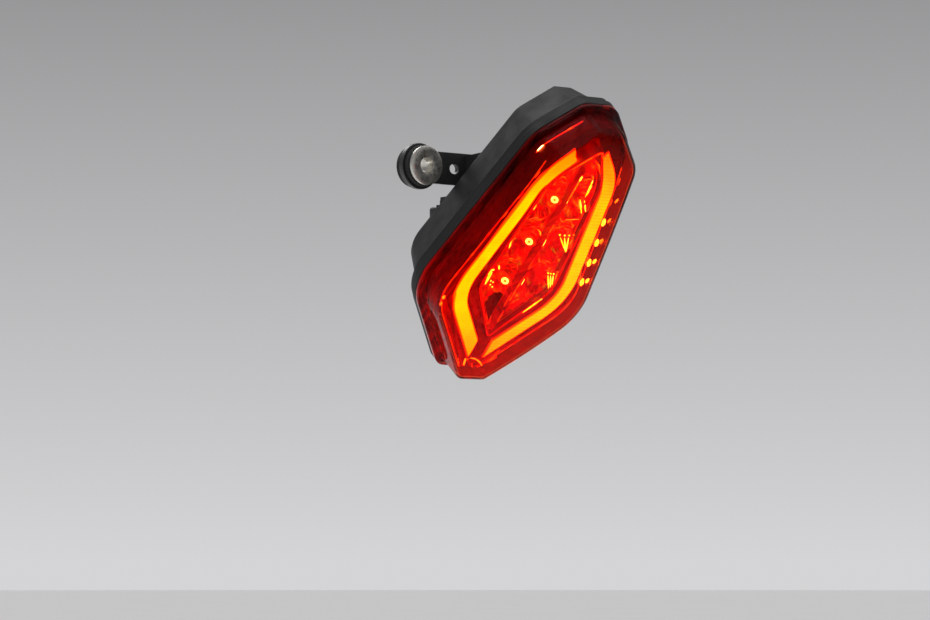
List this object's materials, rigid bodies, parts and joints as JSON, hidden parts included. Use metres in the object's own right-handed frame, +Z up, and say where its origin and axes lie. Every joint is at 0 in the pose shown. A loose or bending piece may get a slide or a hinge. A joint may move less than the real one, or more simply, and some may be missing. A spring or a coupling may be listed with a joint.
{
  "type": "motorcycle tail light",
  "caption": "Hexagonal red LED tail and brake light for a motorcycle, with glowing L-shaped light guides, a leaf-shaped brake optic and a rubber-bushed bracket.",
  "frame": {"origin": "middle of the raised pad on the mounting bracket's front, on the lamp's plane of symmetry, midway between the two ears", "axes": "+X to the bike's right, +Y towards the bike's front and out of the bracket's pad, +Z up; the lens looks towards -Y and down"},
  "size_m": [0.109, 0.1256, 0.1238],
  "materials": {
    "red_lens": "gloss",
    "light_guide": "satin",
    "red_trim": "satin",
    "red_reflector": "mirror-like vacuum-metallised red",
    "clear_optic": "gloss",
    "white_tray": "matte",
    "housing_plastic": "fine moulded grain",
    "vent_plastic": "matte",
    "seal": "soft",
    "rubber": "matte",
    "black_steel": "satin black coat",
    "zinc_steel": "zinc plated",
    "spreader_aluminium": "satin",
    "can_aluminium": "satin",
    "board": "solder mask",
    "chip": "matte",
    "led": "gloss",
    "tin": "tin plated"
  },
  "bodies": {
    "root": {"outer_lens": "red_lens", "lens_seal": "seal", "bezel": "red_trim", "light_guide_left": "light_guide", "light_guide_right": "light_guide", "guide_tray_left": "white_tray", "guide_tray_right": "white_tray", "reflector": "red_reflector", "centre_blade": "red_trim", "light_pipes": "clear_optic", "rear_housing": "housing_plastic", "connector_socket": "housing_plastic", "vent_cap": "vent_plastic", "mount_grommet_left": "rubber", "mount_grommet_right": "rubber", "peg_grommet": "rubber", "mount_bracket": "black_steel", "mount_collar_left": "zinc_steel", "mount_collar_right": "zinc_steel", "bracket_screw_left": "zinc_steel", "bracket_screw_right": "zinc_steel", "board_screw_1": "zinc_steel", "board_screw_2": "zinc_steel", "board_screw_3": "zinc_steel", "board_screw_4": "zinc_steel", "heat_spreader": "spreader_aluminium", "capacitor": "can_aluminium", "circuit_board": "board", "driver_chip": "chip", "brake_led_1": "led", "brake_led_2": "led", "brake_led_3": "led", "brake_led_4": "led", "brake_led_5": "led", "brake_led_6": "led", "guide_led_lower_left": "led", "guide_led_lower_right": "led", "guide_led_upper_left": "led", "guide_led_upper_right": "led", "connector_pin_1": "tin", "connector_pin_2": "tin", "connector_pin_3": "tin"}
  },
  "joints": []
}
